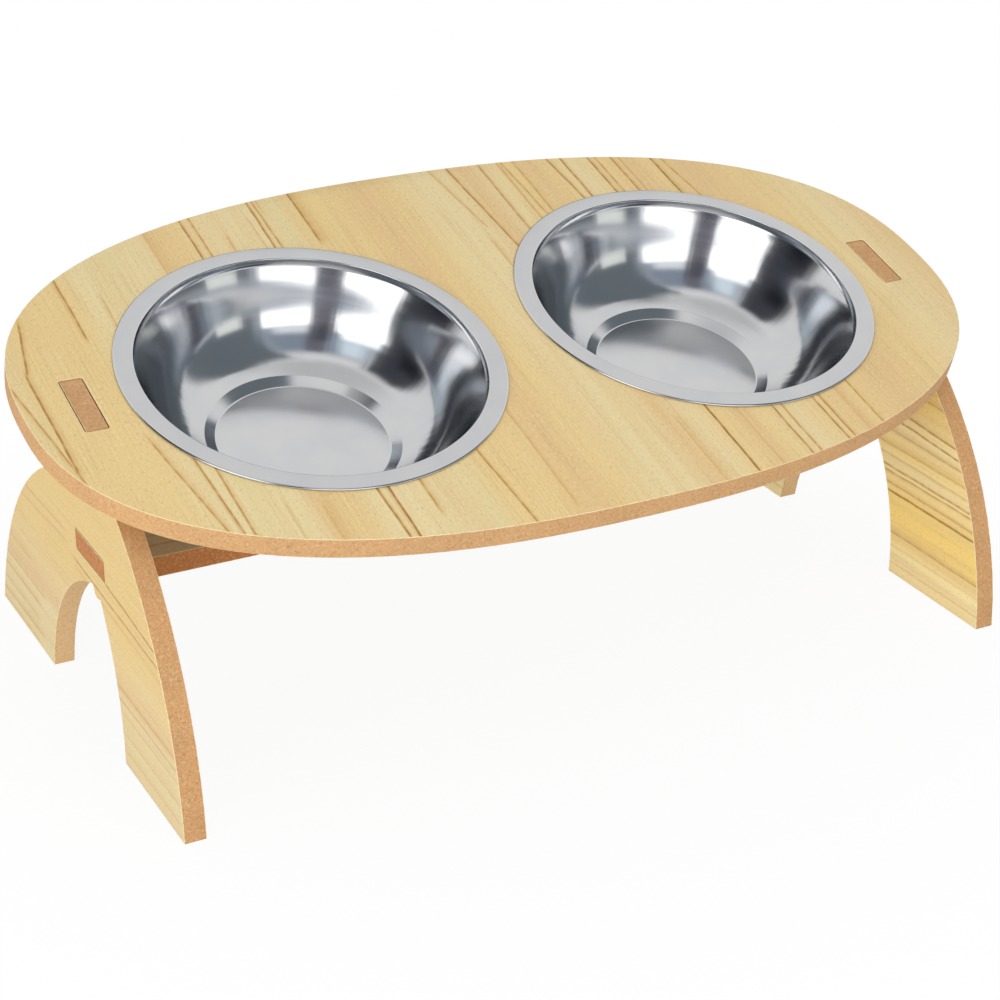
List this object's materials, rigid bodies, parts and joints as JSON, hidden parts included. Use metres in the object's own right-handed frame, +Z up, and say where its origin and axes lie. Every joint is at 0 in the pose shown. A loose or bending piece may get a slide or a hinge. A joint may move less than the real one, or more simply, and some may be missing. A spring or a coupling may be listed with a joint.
{
  "type": "raised pet feeder",
  "caption": "Raised feeder: a tilted oval wood-grain tabletop on arched legs and a stretcher, holding steel bowls that lift out of round holes.",
  "frame": {"origin": "on the floor, under the middle of the feeder's box", "axes": "+X to the right along the tabletop's length, +Y to the back, +Z up; the feeder faces -Y and its tabletop leans down towards the front"},
  "size_m": [0.423, 0.236, 0.1739],
  "materials": {
    "board": "satin wood-grain facing with raw fibreboard edges",
    "steel": "polished inside, satin flange"
  },
  "bodies": {
    "stand": {"left_leg": "board", "right_leg": "board", "stretcher": "board"},
    "tabletop": {"tabletop": "board"},
    "left_bowl": {"left_bowl": "steel"},
    "right_bowl": {"right_bowl": "steel"}
  },
  "joints": [
    {"name": "tabletop_lift", "type": "slide", "parent": "stand", "child": "tabletop", "axis": [0, -0.2823, 0.9593], "range_m": [0, 0.03]},
    {"name": "left_bowl_lift", "type": "slide", "parent": "tabletop", "child": "left_bowl", "axis": [0, -0.2823, 0.9593], "range_m": [0, 0.06]},
    {"name": "right_bowl_lift", "type": "slide", "parent": "tabletop", "child": "right_bowl", "axis": [0, -0.2823, 0.9593], "range_m": [0, 0.06]}
  ]
}
